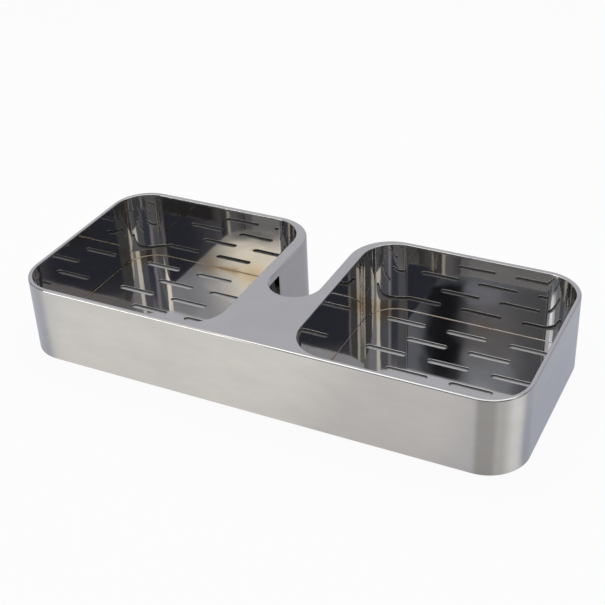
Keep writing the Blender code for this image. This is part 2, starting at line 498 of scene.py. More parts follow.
print("Each floor gets", len(slot_centres()), "slots in", SLOT_ROWS, "rows")

# %% Model the floors
SLOT_EDGE = 0.25 * MM
RIM_CLEAR = 5 * MM

left_floor = basin_form("left_slotted_floor", FLOOR_UNDERSIDE, FLOOR_TOP)
forms = [slot_form(x, y) for x, y in slot_centres()]
bpy.ops.object.select_all(action="DESELECT")
for form in forms:
    form.select_set(True)
bpy.context.view_layer.objects.active = forms[0]
bpy.ops.object.join()
cut(left_floor, forms[0])


def is_slot_edge(edge):
    """An upper edge of the floor that isn't on its rim."""
    middle = (edge.verts[0].co + edge.verts[1].co) / 2
    inside_x = basin_low.x + RIM_CLEAR < middle.x < basin_high.x - RIM_CLEAR
    inside_y = basin_low.y + RIM_CLEAR < middle.y < basin_high.y - RIM_CLEAR
    return inside_x and inside_y and lies_at(edge, FLOOR_TOP)


slot_edges = soften(left_floor, SLOT_EDGE, is_slot_edge, segments=3)
shade(left_floor)
right_floor = copy_across(left_floor, "right_slotted_floor")
for plate, node in ((left_floor, "left_floor_plate"), (right_floor, "right_floor_plate")):
    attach(plate, "root")
    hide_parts(node)
faces = len(left_floor.data.polygons)
print("Floors:", slot_edges, "slot edges eased,", faces, "faces each")

# %% [markdown]
# ## The welds between floor and wall
# A thin bead runs all round each floor where it meets the liner. It was laid in small steps, so it
# has ripples about a millimetre apart, and polishing has taken its crown off. A bevel in the corner
# would be too even. A curve can swell and thin from point to point as a bead does, so the bead
# starts as a plane whose corners are rounded. Only the plane's edge is kept, and it becomes a curve
# whose bevel is the bead's section.

# %% A curve round a floor
POINT_SPACING = 0.3 * MM


def outline_curve(name, low, high, radius, z):
    """The edge of a plane with round corners, as a closed curve with evenly spaced points."""
    bpy.ops.object.select_all(action="DESELECT")
    middle = (low + high) / 2
    bpy.ops.mesh.primitive_plane_add(size=1, location=(middle.x, middle.y, z))
    bpy.context.object.scale = (high.x - low.x, high.y - low.y, 1)
    run = settle(bpy.context.object, name)
    edit(run, "VERT")
    bpy.ops.mesh.select_all(action="SELECT")
    bpy.ops.mesh.bevel(offset=radius, segments=BEND_SEGMENTS, affect="VERTICES", clamp_overlap=False)
    bpy.ops.mesh.select_all(action="SELECT")
    bpy.ops.mesh.delete(type="ONLY_FACE")
    done()
    arc_step = radius * math.pi / 2 / BEND_SEGMENTS
    straight = high.x - low.x - 2 * radius
    pick_edges(run, lambda edge: edge.calc_length() > 2 * arc_step)
    bpy.ops.mesh.subdivide(number_cuts=round(straight / arc_step))
    bpy.ops.mesh.select_all(action="SELECT")
    bpy.ops.mesh.subdivide(number_cuts=round(arc_step / POINT_SPACING) - 1)
    done()
    bpy.ops.object.convert(target="CURVE")
    return bpy.context.object


# %% Model the welds
WELD_INSET = 0.1 * MM
WELD_RADIUS = 0.22 * MM
BEAD_PITCH = 1.0 * MM
BEAD_SHARE = 0.12
WANDER_PITCH = 23 * MM
WANDER_SHARE = 0.15
SLOW_PITCH = 3 * WANDER_PITCH

inset = Vector((WELD_INSET, WELD_INSET, 0))
run_radius = BASIN_RADIUS - WELD_INSET
run_height = FLOOR_TOP + WELD_INSET
left_weld = outline_curve(
    "left_weld_bead", basin_low + inset, basin_high - inset, run_radius, run_height
)
left_weld.data.bevel_depth = WELD_RADIUS
left_weld.data.bevel_resolution = 2
travelled = 0.0
points = left_weld.data.splines[0].points
for here, after in zip(points, [*points[1:], points[0]]):
    step = BEAD_SHARE * math.sin(2 * math.pi * travelled / BEAD_PITCH)
    wander = WANDER_SHARE * math.sin(2 * math.pi * travelled / WANDER_PITCH)
    here.radius = 1 + step + wander * math.sin(travelled / SLOW_PITCH)
    travelled += (after.co - here.co).length
bpy.ops.object.convert(target="MESH")
left_weld = bpy.context.object
left_weld.name = "left_weld_bead"
left_weld.data.name = "left_weld_bead"
shade(left_weld)
right_weld = copy_across(left_weld, "right_weld_bead")
for bead, node in ((left_weld, "left_floor_weld"), (right_weld, "right_floor_weld")):
    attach(bead, "root")
    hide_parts(node)
faces = len(left_weld.data.polygons)
print("Welds:", len(points), "points over", round(travelled / MM), "mm,", faces, "faces each")

# %% [markdown]
# ## The foam pads
# Two pads of soft double-sided foam hold the shelf to the tiles. They are die-cut, so the corners
# of the outline are round, and the knife leaves the edges a little soft. A drawn outline could be
# extruded. A block whose four edges from front to rear are rounded is the same shape in fewer
# steps, and then every sharp edge is eased.

# %% Model the pads
PAD_CORNER = 5 * MM
PAD_EDGE = 0.25 * MM


def runs_back(edge):
    """An edge that runs from front to rear."""
    a, b = edge.verts
    return abs(a.co.x - b.co.x) < NEAR and abs(a.co.z - b.co.z) < NEAR


for side in ("left", "right"):
    pad = block(f"{side}_foam_pad", *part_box(f"{side}_wall_pad"))
    pick_edges(pad, runs_back)
    bpy.ops.mesh.bevel(offset=PAD_CORNER, segments=10, affect="EDGES", clamp_overlap=False)
    done()
    soften(pad, PAD_EDGE, lambda edge: True, segments=3)
    shade(pad)
    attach(pad, "root")
    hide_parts(f"{side}_wall_pad")
    print(pad.name, [round(span / MM, 2) for span in pad.dimensions], "mm")

# %% [markdown]
# ## The camera
# It stands where the photograph was taken from: in front, to the right and above, with a long lens.
# Its place could be found by eye, but it was worked out from the edges of the shelf, so that each
# of them lies where the photograph shows it.

# %% Camera
lens = bpy.data.cameras.new("camera")
camera = bpy.data.objects.new("camera", lens)
bpy.context.scene.collection.objects.link(camera)
camera.location = (0.3157, -0.5997, 0.4694)
camera.rotation_euler = [math.radians(turn) for turn in (57.51, 2.21, 26.11)]
lens.lens = 70.13
lens.sensor_width = 36
bpy.context.scene.camera = camera
bpy.context.scene.view_settings.view_transform = "Standard"
print("Camera stands", round(camera.location.length / MM), "mm from the shelf's origin")

# %% [markdown]
# ## How the finishes are made
# Every finish is a set of nodes on Object coordinates. The pieces sit at the origin, so those are
# the shelf's own metres, and a pattern's size can be worked out from millimetres. A noise of scale
# 1 has features about a metre apart, so features of a given size take one over that size. One
# function adds a node, and it returns the node's first output that is in use, so that one node can
# be written straight into the inputs of the next.

# %% Tools for finishes
def linear(code):
    """The linear colour of an sRGB hex code."""
    parts = [int(code[i : i + 2], 16) / 255 for i in (1, 3, 5)]
    parts = [part / 12.92 if part <= 0.04045 else ((part + 0.055) / 1.055) ** 2.4 for part in parts]
    return (*parts, 1.0)


def add(tree, kind, inputs=None, **settings):
    """Adds a node with its settings and inputs, and returns its first output that is in use."""
    node = tree.nodes.new(kind)
    for name, value in settings.items():
        setattr(node, name, value)
    for name, value in (inputs or {}).items():
        if isinstance(value, bpy.types.NodeSocket):
            tree.links.new(value, node.inputs[name])
        else:
            node.inputs[name].default_value = value
    return next((output for output in node.outputs if output.enabled), None)


def blank(name):
    """An empty material."""
    finish = bpy.data.materials.new(name)
    finish.use_nodes = True
    finish.node_tree.nodes.clear()
    return finish, finish.node_tree


def wear(piece, finish):
    piece.data.materials.clear()
    piece.data.materials.append(finish)


def shader_of(finish):
    return next(node for node in finish.node_tree.nodes if node.type == "BSDF_PRINCIPLED")


# %% [markdown]
# ## How far from the weld
# Heat from welding tints steel in bands that follow the seam, so those finishes need the distance
# to it. It could be kept at the mesh's points, but a flat floor has none between its rim and its
# slots, so it is worked out in the finish. Seen from above, the seam is a square with round
# corners. The distance to such an outline is found by folding the place into one quarter about the
# centre, taking off the straight sides and measuring to the arc.

# %% Distance to the seam
def seam_distance(tree, place, centre):
    """How far a point is from the weld round one floor, and how deep it lies in a round corner."""
    half = (basin_high - basin_low) / 2
    from_centre = add(tree, "ShaderNodeVectorMath", {0: place, 1: centre}, operation="SUBTRACT")
    folded = add(tree, "ShaderNodeVectorMath", {0: from_centre}, operation="ABSOLUTE")
    reach = (half.x - BASIN_RADIUS, half.y - BASIN_RADIUS, 0)
    past = add(tree, "ShaderNodeVectorMath", {0: folded, 1: reach}, operation="SUBTRACT")
    x, y, height = add(tree, "ShaderNodeSeparateXYZ", {0: past}).node.outputs
    in_x = add(tree, "ShaderNodeMath", {0: x, 1: 0.0}, operation="MAXIMUM")
    in_y = add(tree, "ShaderNodeMath", {0: y, 1: 0.0}, operation="MAXIMUM")
    arc = add(tree, "ShaderNodeCombineXYZ", {"X": in_x, "Y": in_y})
    length = add(tree, "ShaderNodeVectorMath", {0: arc}, operation="LENGTH")
    larger = add(tree, "ShaderNodeMath", {0: x, 1: y}, operation="MAXIMUM")
    inner = add(tree, "ShaderNodeMath", {0: larger, 1: 0.0}, operation="MINIMUM")
    outside = add(tree, "ShaderNodeMath", {0: length, 1: inner}, operation="ADD")
    inside = add(tree, "ShaderNodeMath", {0: BASIN_RADIUS, 1: outside}, operation="SUBTRACT")
    level = add(tree, "ShaderNodeMath", {0: height, 1: FLOOR_TOP}, operation="SUBTRACT")
    flat = add(tree, "ShaderNodeCombineXYZ", {"X": inside, "Y": level})
    distance = add(tree, "ShaderNodeVectorMath", {0: flat}, operation="LENGTH")
    corner = add(tree, "ShaderNodeMath", {0: in_x, 1: in_y}, operation="MINIMUM")
    return distance, corner


# %% [markdown]
# ## Polished sheet
# The sheet is 304 stainless, ground and then buffed on a soft wheel until it mirrors. What the eye
# sees is the studio, a little dimmed and warmed by the metal. Two things keep it from a perfect
# mirror: a faint haze that lies in drifts along the sheet, and a long shallow waviness left by
# rolling. Fine grinding lines could be a stretched noise, but the wheel has taken them out, so
# there are none.

# %% The polished steel
STEEL = "#CBC9C5"
STEEL_HAZED = "#C4C2BF"
HAZE_SIZE = 40 * MM
HAZE_SQUEEZE = 2.5
WAVE_SIZE = 25 * MM
FLAT_WAVE = 0.01 * MM
DECK_ROUGHNESS = 0.07
SKIRT_ROUGHNESS = 0.06


def polished_sheet(name, roughness, wave_height):
    """A finish of polished steel, hazed by the buffing wheel in drifts along the sheet."""
    finish, tree = blank(name)
    place = add(tree, "ShaderNodeTexCoord").node.outputs["Object"]
    along = add(tree, "ShaderNodeVectorMath", {0: place, 1: (1, 1, HAZE_SQUEEZE)}, operation="MULTIPLY")
    cloud = {"Vector": along, "Scale": 1 / HAZE_SIZE, "Detail": 4.0, "Roughness": 0.6}
    haze = add(tree, "ShaderNodeTexNoise", cloud)
    haze = add(tree, "ShaderNodeMapRange", {"Value": haze, "From Min": 0.3, "From Max": 0.7})
    tones = {"Factor": haze, "A": linear(STEEL), "B": linear(STEEL_HAZED)}
    sheen = {"Value": haze, "To Min": roughness, "To Max": 2 * roughness}
    wave = add(tree, "ShaderNodeTexNoise", {"Vector": place, "Scale": 1 / WAVE_SIZE, "Detail": 1.0})
    steel = {
        "Metallic": 1.0,
        "Base Color": add(tree, "ShaderNodeMix", tones, data_type="RGBA"),
        "Roughness": add(tree, "ShaderNodeMapRange", sheen),
        "Normal": add(tree, "ShaderNodeBump", {"Height": wave, "Distance": wave_height}),
    }
    shader = add(tree, "ShaderNodeBsdfPrincipled", steel)
    add(tree, "ShaderNodeOutputMaterial", {"Surface": shader})
    return finish


# Buffed deck: it shows the room and the lamp as soft pale fields, with no sharp outline.
wear(deck, polished_sheet("buffed_304_steel_deck", DECK_ROUGHNESS, FLAT_WAVE))
# Buffed skirt: a little glossier, so the paper's tones run along it as long smooth gradients.
skirt_finish = polished_sheet("buffed_304_steel_skirt", SKIRT_ROUGHNESS, FLAT_WAVE)
wear(skirt, skirt_finish)
wear(lip, skirt_finish)
print("Haze", HAZE_SIZE / MM, "mm across, waves", WAVE_SIZE / MM, "mm apart")

# %% [markdown]
# ## The basins
# Inside the basins the polish is finer, and the heat of welding shows. Next to the bead the oxide
# is brown, then straw, and a few millimetres away it fades into bare metal. The welder stopped and
# started, so it is patchy, and it lingers round a few hot spots. Where the sheet was bent, short
# upright ripples break a reflection into streaks. A second colour could be masked in by a plain
# noise. A colour ramp over the distance to the seam gives the bands in their right order, and
# Darken leaves the bare metal as it is.

# %% Heat tints
HEAT_PATCH = 22 * MM
PATCH_LOW = 0.42
PATCH_HIGH = 0.66
LEAST_HEAT = 0.12
MOST_HEAT = 1.5
HEAT_COLOURS = (
    (0.0, "#94806C"),
    (0.12, "#B2A490"),
    (0.35, "#C0B6A6"),
    (0.65, "#C7C2B9"),
    (1.0, STEEL),
)


def heat_share(tree, place, distance, heat, spots):
    """Nought at the seam and in the middle of a hot spot, and one where the metal is bare."""
    cloud = {"Vector": place, "Scale": 1 / HEAT_PATCH, "Detail": 3.0, "Roughness": 0.65}
    patch = add(tree, "ShaderNodeTexNoise", cloud)
    noise = {"Value": patch, "From Min": PATCH_LOW, "From Max": PATCH_HIGH}
    limits = {"To Min": LEAST_HEAT * heat, "To Max": MOST_HEAT * heat}
    reach = add(tree, "ShaderNodeMapRange", {**noise, **limits})
    share = add(tree, "ShaderNodeMath", {0: distance, 1: reach}, operation="DIVIDE")
    for x, y, spread, strength in spots:
        ends = {0: place, 1: (x * MM, y * MM, FLOOR_TOP)}
        away = add(tree, "ShaderNodeVectorMath", ends, operation="DISTANCE")
        fade = {0: away, 1: 1 / (spread * MM), 2: 1 - strength}
        from_spot = add(tree, "ShaderNodeMath", fade, operation="MULTIPLY_ADD")
        share = add(tree, "ShaderNodeMath", {0: share, 1: from_spot}, operation="MINIMUM")
    return share


def oxide(tree, share):
    """The colour of the oxide, from brown through straw to bare metal."""
    tints = add(tree, "ShaderNodeValToRGB", {"Fac": share})
    stops = tints.node.color_ramp.elements
    while len(stops) < len(HEAT_COLOURS):
        stops.new(0.5)
    for stop, (position, code) in zip(stops, HEAT_COLOURS):
        stop.position = position
        stop.color = linear(code)
    return tints


print("Oxide:", len(HEAT_COLOURS), "colours, in patches", HEAT_PATCH / MM, "mm across")

# %% Ripples in the bends
BEND_DEPTH = 6 * MM
RIPPLE_WIDTH = 5 * MM
RIPPLE_LENGTH = 25 * MM
RIPPLE_HEIGHT = 0.06 * MM


def bend_ripples(tree, place, corner, plain):
    """Adds upright ripples to a plain normal. They deepen towards the middle of a round corner."""
    drawn_out = (1 / RIPPLE_WIDTH, 1 / RIPPLE_WIDTH, 1 / RIPPLE_LENGTH)
    upright = add(tree, "ShaderNodeMapping", {"Vector": place, "Scale": drawn_out})
    ripple = add(tree, "ShaderNodeTexNoise", {"Vector": upright, "Scale": 1.0, "Detail": 2.0})
    limits = {"From Min": 0.0, "From Max": BEND_DEPTH}
    bent = add(tree, "ShaderNodeMapRange", {"Value": corner, **limits})
    height = add(tree, "ShaderNodeMath", {0: ripple, 1: bent}, operation="MULTIPLY")
    relief = {"Height": height, "Distance": RIPPLE_HEIGHT, "Normal": plain}
    return add(tree, "ShaderNodeBump", relief)


print("Ripples:", RIPPLE_WIDTH / MM, "mm wide and", RIPPLE_LENGTH / MM, "mm tall")

# %% Mirror polish with heat tint
LINER_WAVE = 0.06 * MM
LINER_ROUGHNESS = 0.02
LEFT_HEAT = 4 * MM
RIGHT_HEAT = 1.5 * MM


def heat_tinted(name, roughness, centre, heat, spots):
    """Mirror polish that takes the heat tints towards the seam and round each hot spot."""
    finish = polished_sheet(name, roughness, LINER_WAVE)
    tree = finish.node_tree
    shader = shader_of(finish)
    place = add(tree, "ShaderNodeTexCoord").node.outputs["Object"]
    distance, corner = seam_distance(tree, place, centre)
    share = heat_share(tree, place, distance, heat, spots)
    bare = shader.inputs["Base Color"].links[0].from_socket
    darker = {"Factor": 1.0, "A": bare, "B": oxide(tree, share)}
    tinted = add(tree, "ShaderNodeMix", darker, data_type="RGBA", blend_type="DARKEN")
    tree.links.new(tinted, shader.inputs["Base Color"])
    plain = shader.inputs["Normal"].links[0].from_socket
    streaks = bend_ripples(tree, place, corner, plain)
    tree.links.new(streaks, shader.inputs["Normal"])
    return finish


left_centre = Vector((basin_centre.x, basin_centre.y, 0))
right_centre = left_centre + Vector((BASIN_SHIFT, 0, 0))
# Each hot spot: x, y and reach in millimetres, and strength. Some are at the foot of the rear wall.
LEFT_SPOTS = (
    (-94.5, 38, 4, 1.0),
    (-80, 39.5, 18, 0.5),
    (-92, 73, 9, 1.0),
    (-76, 73, 34, 0.7),
    (-114, 72, 34, 0.65),
    (-166, 64, 20, 0.75),
)
RIGHT_SPOTS = ((90, 38.5, 4.5, 1.0), (38, 64, 24, 0.8), (110, 72, 26, 0.4))
LEFT_BASIN = (left_centre, LEFT_HEAT, LEFT_SPOTS)
RIGHT_BASIN = (right_centre, RIGHT_HEAT, RIGHT_SPOTS)
# Mirror polish: the other walls and the window show sharply, and drawn out into streaks in the bends.
wear(left_wall, heat_tinted("mirror_304_steel_left_liner", LINER_ROUGHNESS, *LEFT_BASIN))
wear(right_wall, heat_tinted("mirror_304_steel_right_liner", LINER_ROUGHNESS, *RIGHT_BASIN))
print("Hot spots:", len(LEFT_SPOTS), "in the left basin,", len(RIGHT_SPOTS), "in the right one")

# %% [markdown]
# ## The sides of the slots
# The punch shears the sheet, so the sides of a slot are dull; they are also darkened, partly as painted
# shade.
# They could have a material slot of their own. Found by height they need none, because nothing else
# of the floor lies between its two faces.

# %% Floors with sheared slots
# The sides' dark grey is dull sheared metal and partly painted shade.
SHEARED_GREY_AND_PAINTED_SHADE = "#7C7C7E"
SHEARED_ROUGHNESS = 0.4
SHEAR_MIDDLE = FLOOR_UNDERSIDE + 0.4 * MM
SHEAR_REACH = 0.37 * MM
FLOOR_ROUGHNESS = 0.035


def shear_and_shade_slots(finish):
    """Dulls the sides of the slots, and darkens them partly as painted shade."""
    tree = finish.node_tree
    shader = shader_of(finish)
    place = add(tree, "ShaderNodeTexCoord").node.outputs["Object"]
    height = add(tree, "ShaderNodeSeparateXYZ", {0: place}).node.outputs["Z"]
    side = {0: height, 1: SHEAR_MIDDLE, 2: SHEAR_REACH}
    sheared = add(tree, "ShaderNodeMath", side, operation="COMPARE")
    polished = shader.inputs["Base Color"].links[0].from_socket
    colour = {"Factor": sheared, "A": polished, "B": linear(SHEARED_GREY_AND_PAINTED_SHADE)}
    tree.links.new(add(tree, "ShaderNodeMix", colour, data_type="RGBA"), shader.inputs["Base Color"])
    smooth = shader.inputs["Roughness"].links[0].from_socket
    sheen = {"Factor": sheared, "A": smooth, "B": SHEARED_ROUGHNESS}
    tree.links.new(add(tree, "ShaderNodeMix", sheen), shader.inputs["Roughness"])
    return finish


# Mirror polish, a touch softer than the walls, with a thin dark line round each slot that is partly
# painted shade.
left_finish = heat_tinted("mirror_304_steel_left_floor", FLOOR_ROUGHNESS, *LEFT_BASIN)
right_finish = heat_tinted("mirror_304_steel_right_floor", FLOOR_ROUGHNESS, *RIGHT_BASIN)
wear(left_floor, shear_and_shade_slots(left_finish))
wear(right_floor, shear_and_shade_slots(right_finish))
print("Sheared sides: within", SHEAR_REACH / MM, "mm of z", round(SHEAR_MIDDLE / MM, 2), "mm")

# %% [markdown]
# ## The weld metal
# The bead is the same steel, laid hot and wiped with a soft wheel. It keeps some tint, and its
# ripples spread the light. It could share the sheet's finish, but then the line round the floor
# would vanish among the reflections. A grain of two tints keeps it apart.

# %% Weld finish
TINT_SIZE = 9 * MM


def weld_metal(name, bright, tinted):
    """Weld metal that wanders between two tints."""
    finish, tree = blank(name)
    place = add(tree, "ShaderNodeTexCoord").node.outputs["Object"]
    cloud = {"Vector": place, "Scale": 1 / TINT_SIZE, "Detail": 4.0, "Roughness": 0.7}
    grain = add(tree, "ShaderNodeTexNoise", cloud)
    tints = {"Factor": grain, "A": linear(bright), "B": linear(tinted)}
    metal = {
        "Metallic": 1.0,
        "Base Color": add(tree, "ShaderNodeMix", tints, data_type="RGBA"),
        "Roughness": add(tree, "ShaderNodeMapRange", {"Value": grain, "To Min": 0.15, "To Max": 0.4}),
    }
    shader = add(tree, "ShaderNodeBsdfPrincipled", metal)
    add(tree, "ShaderNodeOutputMaterial", {"Surface": shader})
    return finish


# Straw tint: a thin warm line that glints at each ripple of the bead.
wear(left_weld, weld_metal("tig_weld_bead_straw_tint", "#CCC9C6", "#94887C"))
# Pale tint: the same line on the right, greyer and brighter, where the weld ran cooler.
wear(right_weld, weld_metal("tig_weld_bead_pale_tint", "#D8D4D2", "#B4A8A4"))
print("Weld metal: tints wander over", TINT_SIZE / MM, "mm")

# %% [markdown]
# ## The foam
# The pads are closed-cell foam, dull and dark, with pores a fraction of a millimetre wide where the
# knife opened the cells. A plain dark colour would look like rubber, so a cell pattern in the bump
# opens the pores, and the grey varies a little.

# %% Foam finish
PORE_SIZE = 0.5 * MM
TONE_SIZE = 4 * MM

foam_finish, tree = blank("die_cut_closed_cell_foam")
place = add(tree, "ShaderNodeTexCoord").node.outputs["Object"]
pores = add(tree, "ShaderNodeTexVoronoi", {"Vector": place, "Scale": 1 / PORE_SIZE})
tone = add(tree, "ShaderNodeTexNoise", {"Vector": place, "Scale": 1 / TONE_SIZE, "Detail": 5.0})
tones = {"Factor": tone, "A": linear("#3A3A3C"), "B": linear("#4B4B4E")}
foam = {
    "Base Color": add(tree, "ShaderNodeMix", tones, data_type="RGBA"),
    "Roughness": 0.9,
    "Normal": add(tree, "ShaderNodeBump", {"Height": pores, "Distance": 0.1 * MM, "Strength": 0.8}),
}
shader = add(tree, "ShaderNodeBsdfPrincipled", foam)
add(tree, "ShaderNodeOutputMaterial", {"Surface": shader})
for side in ("left", "right"):
    wear(bpy.data.objects[f"{side}_foam_pad"], foam_finish)
print("Foam: pores", PORE_SIZE / MM, "mm wide")

# %% [markdown]
# ## Painting soft panels
# A mirror shows the studio, so the studio has to be designed. A picture of a real room could
# surround the shelf. Painted panels need no file, and each can be tuned by itself. They are
# soft-edged rectangles over a plain ground, each over the one before. For the room they are
# measured in degrees of azimuth and elevation, and for the floor in millimetres. Azimuth 0 is to
# the right of the shelf, 90 behind it and -90 in front.
#
# The round front corners are bulging mirrors, and the floor that they show needs panels of its own.
# Each spot on the floor shows in a corner where the metal faces part of the way from the viewer to
# the spot: nearly all the way at the corner's foot, and half of it far off. Panels for a corner are
# measured by that facing and by the distance from the corner's axis.

# %% Paint
def soft_band(tree, value, low, high, softness):
    """One between two limits, nought outside them, and a smooth change across each limit."""
    offset = add(tree, "ShaderNodeMath", {0: value, 1: (low + high) / 2}, operation="SUBTRACT")
    away = add(tree, "ShaderNodeMath", {0: offset}, operation="ABSOLUTE")
    half = (high - low) / 2
    limits = {"From Min": half - softness, "From Max": half + softness, "To Min": 1.0, "To Max": 0.0}
    return add(tree, "ShaderNodeMapRange", {"Value": away, **limits}, interpolation_type="SMOOTHSTEP")


def facing(tree, place, centre, viewer):
    """Which way a corner faces where it mirrors a spot on the floor, and the spot's distance."""
    apart = add(tree, "ShaderNodeVectorMath", {0: place, 1: (*centre, 0)}, operation="SUBTRACT")
    turn = {"Vector": apart, "Angle": -math.radians(viewer)}
    turned = add(tree, "ShaderNodeVectorRotate", turn, rotation_type="Z_AXIS")
    ahead, aside = add(tree, "ShaderNodeSeparateXYZ", {0: turned}).node.outputs[:2]
    angle = add(tree, "ShaderNodeMath", {0: aside, 1: ahead}, operation="ARCTAN2")
    bearing = add(tree, "ShaderNodeMath", {0: angle}, operation="DEGREES")
    distance = add(tree, "ShaderNodeVectorMath", {0: apart}, operation="LENGTH")
    spread = {0: distance, 1: 2.0, 2: -CORNER_RADIUS / MM}
    twice = add(tree, "ShaderNodeMath", spread, operation="MULTIPLY_ADD")
    share = add(tree, "ShaderNodeMath", {0: distance, 1: twice}, operation="DIVIDE")
    turn_back = {0: bearing, 1: share, 2: viewer}
    return add(tree, "ShaderNodeMath", turn_back, operation="MULTIPLY_ADD"), distance


def paint(tree, across, up, ground, panels):
    """Soft panels over a ground: from and to across, from and to up, softness, colour."""
    total = ground
    for left, right, bottom, top, softness, colour in panels:
        bands = {
            0: soft_band(tree, across, left, right, softness),
            1: soft_band(tree, up, bottom, top, softness),
        }
        share = add(tree, "ShaderNodeMath", bands, operation="MULTIPLY")
        over = {"Factor": share, "A": total, "B": (*colour, 1)}
        total = add(tree, "ShaderNodeMix", over, data_type="RGBA")
    return total


# %% [markdown]
# ## The floor of the studio
# It is pale paper. The camera sees it almost white. The metal sees painted light and shade on it:
# bright along the front of the shelf as if lit from the front left, and a cooler grey beside and
# behind it. Real light alone could shade the paper, but it can't be white for the camera and graded
# for the metal at once, so both are painted, and Light Path tells them apart. Part of the real light
# stays for both, so that the shelf keeps its shadow, and under the basins the paper's colour is
# darkened as painted shade.

# %% Floor
PAPER_SIZE = 6.0
PAPER_LIT = (1.05, 1.035, 1.01)
PAPER_SHADED = (0.47, 0.49, 0.58, 1.0)
# Painted light and shade on the paper for the metal: lit in front, dimmer at the right front, and shade
# in the notch.
# Each panel: x from and to, y from and to and softness in millimetres, and colour.
PAPER_PANELS = (
    (-400, 76, -700, -33, 44, PAPER_LIT),
    (36, 150, -700, -33, 40, (0.82, 0.80, 0.80)),
    (-30, 60, 20, 260, 10, (0.40, 0.41, 0.47)),
)
# Each corner: its axis in millimetres, the bearing that the photograph looks from, and its panels,
# from and to in degrees of facing and in millimetres from the axis.
# The corners' panels are painted light and shade: a shaded field at the left, and dark, grey and bright
# bands at the right.
LEFT_CORNER = ((-152, -50), -49.6, ((-190, -95, -10, 600, 12, (0.55, 0.57, 0.66)),))
RIGHT_PANELS = (
    (-66, -40, -10, 400, 8, (0.62, 0.61, 0.61)),
    (-87, -63, -10, 400, 5, (0.42, 0.41, 0.41)),
    (-46, -23, -10, 400, 9, (1.0, 1.0, 1.02)),
)
RIGHT_CORNER = ((152, -50), -73.4, RIGHT_PANELS)

bpy.ops.object.select_all(action="DESELECT")
bpy.ops.mesh.primitive_plane_add(size=PAPER_SIZE, location=(0, 0, 0))
paper = settle(bpy.context.object, "studio_floor")
paper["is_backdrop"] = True
finish, tree = blank("pale_studio_paper")
place = add(tree, "ShaderNodeTexCoord").node.outputs["Object"]
millimetres = add(tree, "ShaderNodeVectorMath", {0: place, "Scale": 1 / MM}, operation="SCALE")
x, y = add(tree, "ShaderNodeSeparateXYZ", {0: millimetres}).node.outputs[:2]
seen_by_metal = paint(tree, x, y, PAPER_SHADED, PAPER_PANELS)
for corner, viewer, panels in (LEFT_CORNER, RIGHT_CORNER):
    angle, distance = facing(tree, millimetres, corner, viewer)
    seen_by_metal = paint(tree, angle, distance, seen_by_metal, panels)
print("Paper:", len(PAPER_PANELS), "panels and", len(RIGHT_PANELS) + 1, "for the two round corners")

# %% What the camera and the metal see of it
WHITE = (1.0, 1.0, 1.0, 1.0)
CAMERA_SHARE = 0.92
METAL_SHARE = 0.8

ray = add(tree, "ShaderNodeLightPath").node.outputs
seen = {"Factor": ray["Is Camera Ray"], "A": seen_by_metal, "B": WHITE}
tint = add(tree, "ShaderNodeMix", seen, data_type="RGBA")
bounces = {0: ray["Is Glossy Ray"], 1: ray["Is Transmission Ray"]}
mirrored = add(tree, "ShaderNodeMath", bounces, operation="MAXIMUM")
by_metal = add(tree, "ShaderNodeMath", {0: mirrored, 1: METAL_SHARE}, operation="MULTIPLY")
glowing = {0: ray["Is Camera Ray"], 1: CAMERA_SHARE, 2: by_metal}
share = add(tree, "ShaderNodeMath", glowing, operation="MULTIPLY_ADD")
print("Paper glows by", CAMERA_SHARE, "for the camera and by", METAL_SHARE, "for the metal")

# %% Painted shade on the paper under the basins
PAPER = "#F0F0F0"
# Painted shade: the paper's colour under the basins, darker still where the metal mirrors it.
SHADE_PAINTED_UNDER_BASINS = "#B8B8BA"
SHADE_PAINTED_UNDER_BASINS_MIRRORED = "#88888A"
UNDER_SHARE = 0.05
UNDER_MARGIN = 8

under = []
for low, high in ((wall_low, wall_high), (right_wall_low, right_wall_high)):
    left, right = low.x / MM + UNDER_MARGIN, high.x / MM - UNDER_MARGIN
    front, rear = low.y / MM + UNDER_MARGIN, high.y / MM - UNDER_MARGIN
    under.append((left, right, front, rear, 2, WHITE[:3]))
covered = paint(tree, x, y, (0.0, 0.0, 0.0, 1.0), under)
keep = add(tree, "ShaderNodeMapRange", {"Value": covered, "To Min": 1.0, "To Max": UNDER_SHARE})
share = add(tree, "ShaderNodeMath", {0: share, 1: keep}, operation="MULTIPLY")
# The paper's colour is darkened under the basins as painted shade.
shades = {"Factor": mirrored, "A": linear(SHADE_PAINTED_UNDER_BASINS), "B": linear(SHADE_PAINTED_UNDER_BASINS_MIRRORED)}
painted_shade_under_basins = add(tree, "ShaderNodeMix", shades, data_type="RGBA")
tones = {"Factor": covered, "A": linear(PAPER), "B": painted_shade_under_basins}
paper_with_painted_shade = add(tree, "ShaderNodeMix", tones, data_type="RGBA")
matt = add(tree, "ShaderNodeBsdfDiffuse", {"Color": paper_with_painted_shade})
glow = add(tree, "ShaderNodeEmission", {"Color": tint, "Strength": 1.0})
surface = add(tree, "ShaderNodeMixShader", {0: share, 1: matt, 2: glow})
add(tree, "ShaderNodeOutputMaterial", {"Surface": surface})
# Pale paper: white to the camera with a soft shadow, with painted light and shade for the metal.
wear(paper, finish)
print("Paper is dim under", len(under), "basins")

# %% [markdown]
# ## The room
# The camera sees white all round. The metal sees a grey room: a pale backdrop behind, grey screens
# on the left, a cream strip and a dark gap on the right, a window with dark uprights at the front
# left, and a pale ceiling. Real walls could be built, but a painted room needs no geometry, keeps
# off the lamp's light and is quicker to tune, so it is painted on the world.

# %% The room's panels
ROOM = (0.18, 0.19, 0.22, 1.0)
